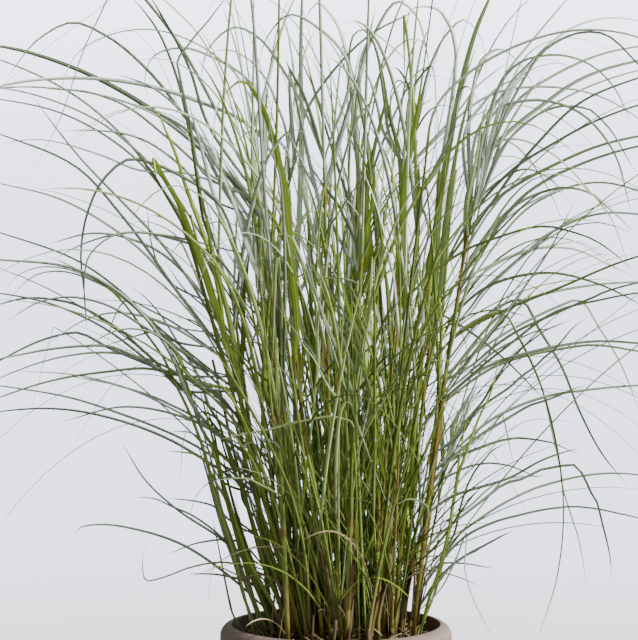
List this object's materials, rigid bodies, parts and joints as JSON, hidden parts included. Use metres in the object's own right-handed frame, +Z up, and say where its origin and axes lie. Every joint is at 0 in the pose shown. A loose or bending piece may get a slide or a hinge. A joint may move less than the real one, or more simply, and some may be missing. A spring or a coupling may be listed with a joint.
{
  "type": "potted ornamental grass clump",
  "caption": "Clump of arching ornamental grass with long narrow green blades, growing in a round taupe pot with a rounded rim.",
  "frame": {"origin": "centre of the pot's flat base, on the pot's axis, on the surface that it stands on", "axes": "+Z up along the pot's axis, +X to the right and -Y towards the viewer of the clump's front"},
  "size_m": [0.8263, 0.7916, 0.9258],
  "materials": {
    "pot": "matte",
    "soil": "matte",
    "culm": "satin",
    "blade_low": "satin",
    "blade_middle": "satin",
    "blade_top": "satin"
  },
  "bodies": {
    "root": {"pot": "pot", "soil": "soil", "culm_01": "culm", "culm_02": "culm", "culm_03": "culm", "culm_04": "culm", "culm_05": "culm", "culm_06": "culm", "culm_07": "culm", "culm_08": "culm", "culm_09": "culm", "culm_10": "culm", "culm_11": "culm", "culm_12": "culm", "culm_13": "culm", "culm_14": "culm", "culm_15": "culm", "blade_01_middle": "blade_middle", "blade_01_top": "blade_top", "blade_02_middle": "blade_middle", "blade_02_top": "blade_top", "blade_03_low": "blade_low", "blade_03_middle": "blade_middle", "blade_03_top": "blade_top", "blade_04_low": "blade_low", "blade_04_middle": "blade_middle", "blade_04_top": "blade_top", "blade_05_low": "blade_low", "blade_05_middle": "blade_middle", "blade_05_top": "blade_top", "blade_06_low": "blade_low", "blade_06_middle": "blade_middle", "blade_06_top": "blade_top", "blade_07_low": "blade_low", "blade_07_middle": "blade_middle", "blade_07_top": "blade_top", "blade_08_low": "blade_low", "blade_08_middle": "blade_middle", "blade_08_top": "blade_top", "blade_09_low": "blade_low", "blade_09_middle": "blade_middle", "blade_09_top": "blade_top", "blade_10_low": "blade_low", "blade_10_middle": "blade_middle", "blade_10_top": "blade_top", "blade_11_low": "blade_low", "blade_11_middle": "blade_middle", "blade_11_top": "blade_top", "blade_12_low": "blade_low", "blade_12_middle": "blade_middle", "blade_12_top": "blade_top", "blade_13_low": "blade_low", "blade_13_middle": "blade_middle", "blade_13_top": "blade_top", "blade_14_low": "blade_low", "blade_14_middle": "blade_middle", "blade_14_top": "blade_top", "blade_15_low": "blade_low", "blade_15_middle": "blade_middle", "blade_15_top": "blade_top"}
  },
  "joints": []
}
